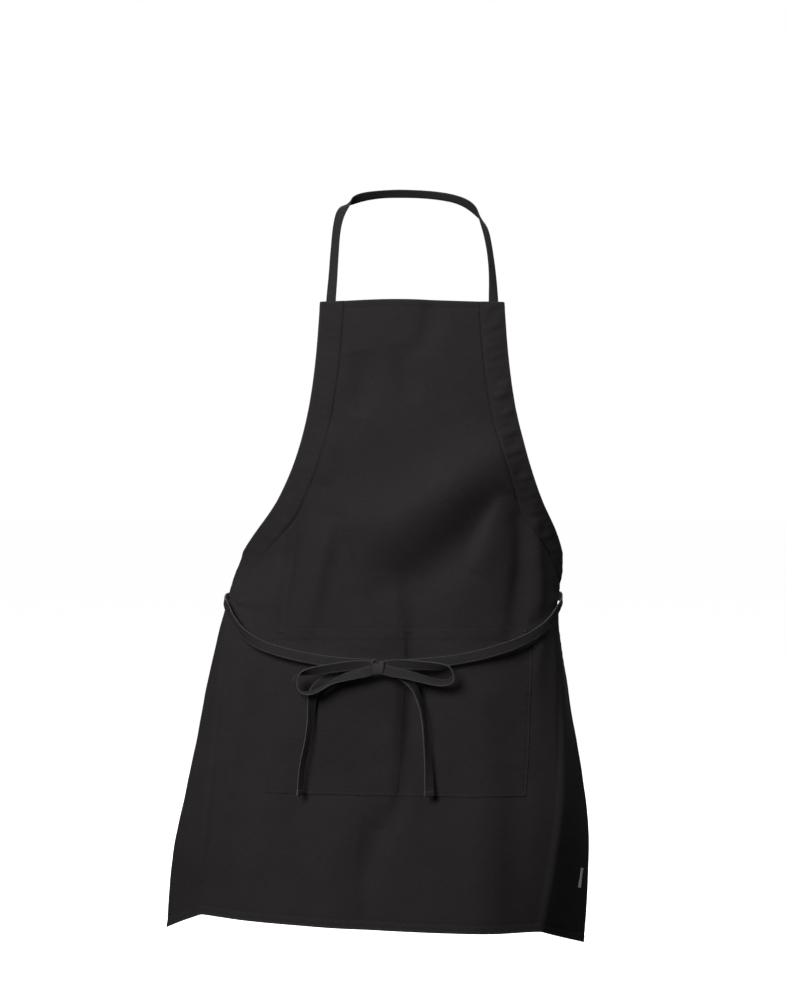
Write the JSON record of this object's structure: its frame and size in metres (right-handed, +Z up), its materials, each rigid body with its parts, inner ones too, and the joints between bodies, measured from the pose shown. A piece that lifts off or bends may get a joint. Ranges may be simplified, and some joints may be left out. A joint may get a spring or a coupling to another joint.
{
  "type": "full-length bib apron",
  "caption": "Worn full-length fabric bib apron with a sliding neck strap in side channels, wrap-round waist ties in a front bow and a two-section pouch pocket.",
  "frame": {"origin": "crown of the neck loop, where it bears on the nape of the neck", "axes": "+Z up along the apron's length, -Y out of the apron's front, +X at the right of a viewer who faces it"},
  "size_m": [0.5224, 0.292, 0.943],
  "materials": {
    "apron_twill": "matt charcoal cotton twill",
    "strap_twill": "matt charcoal self-fabric strap, slightly lighter from its folded edges",
    "thread": "matt dark grey sewing thread",
    "label": "satin woven label, blank"
  },
  "bodies": {
    "neck_loop": {"neck_strap": "strap_twill"},
    "apron": {"apron_panel": "apron_twill", "channel_facing_left": "apron_twill", "channel_facing_right": "apron_twill", "pouch_pocket": "apron_twill", "bow_knot": "strap_twill", "side_label": "label", "pocket_bartacks": "thread", "waist_tie_left": "strap_twill", "waist_tie_right": "strap_twill", "tail_lead_left": "strap_twill", "tail_lead_right": "strap_twill", "channel_strap_left": "strap_twill", "channel_strap_right": "strap_twill", "top_hem_stitching": "thread", "bottom_hem_stitching": "thread", "channel_stitching_left": "thread", "channel_stitching_right": "thread", "side_hem_stitching_left": "thread", "side_hem_stitching_right": "thread", "pocket_left_stitching": "thread", "pocket_right_stitching": "thread", "pocket_bottom_stitching": "thread", "pocket_division_stitching": "thread", "pocket_mouth_stitching": "thread"},
    "left_loop": {"bow_loop_left": "strap_twill"},
    "right_loop": {"bow_loop_right": "strap_twill"},
    "left_tail": {"tie_tail_left": "strap_twill"},
    "right_tail": {"tie_tail_right": "strap_twill"}
  },
  "joints": [
    {"name": "strap_slide", "type": "slide", "parent": "neck_loop", "child": "apron", "axis": [0, 0.0549, 0.9985], "range_m": [-0.025, 0.005]},
    {"name": "left_loop_flop", "type": "hinge", "parent": "apron", "child": "left_loop", "pos_m": [-0.051, -0.188, -0.587], "axis": [0, 0, 1], "range_deg": [0, 60]},
    {"name": "right_loop_flop", "type": "hinge", "parent": "apron", "child": "right_loop", "pos_m": [-0.029, -0.1885, -0.587], "axis": [0, 0, -1], "range_deg": [0, 60]},
    {"name": "left_tail_swing", "type": "hinge", "parent": "apron", "child": "left_tail", "pos_m": [-0.1195, -0.18, -0.62], "axis": [-1, 0, 0], "range_deg": [0, 60]},
    {"name": "right_tail_swing", "type": "hinge", "parent": "apron", "child": "right_tail", "pos_m": [0.009, -0.1825, -0.621], "axis": [-1, 0, 0], "range_deg": [0, 60]}
  ]
}
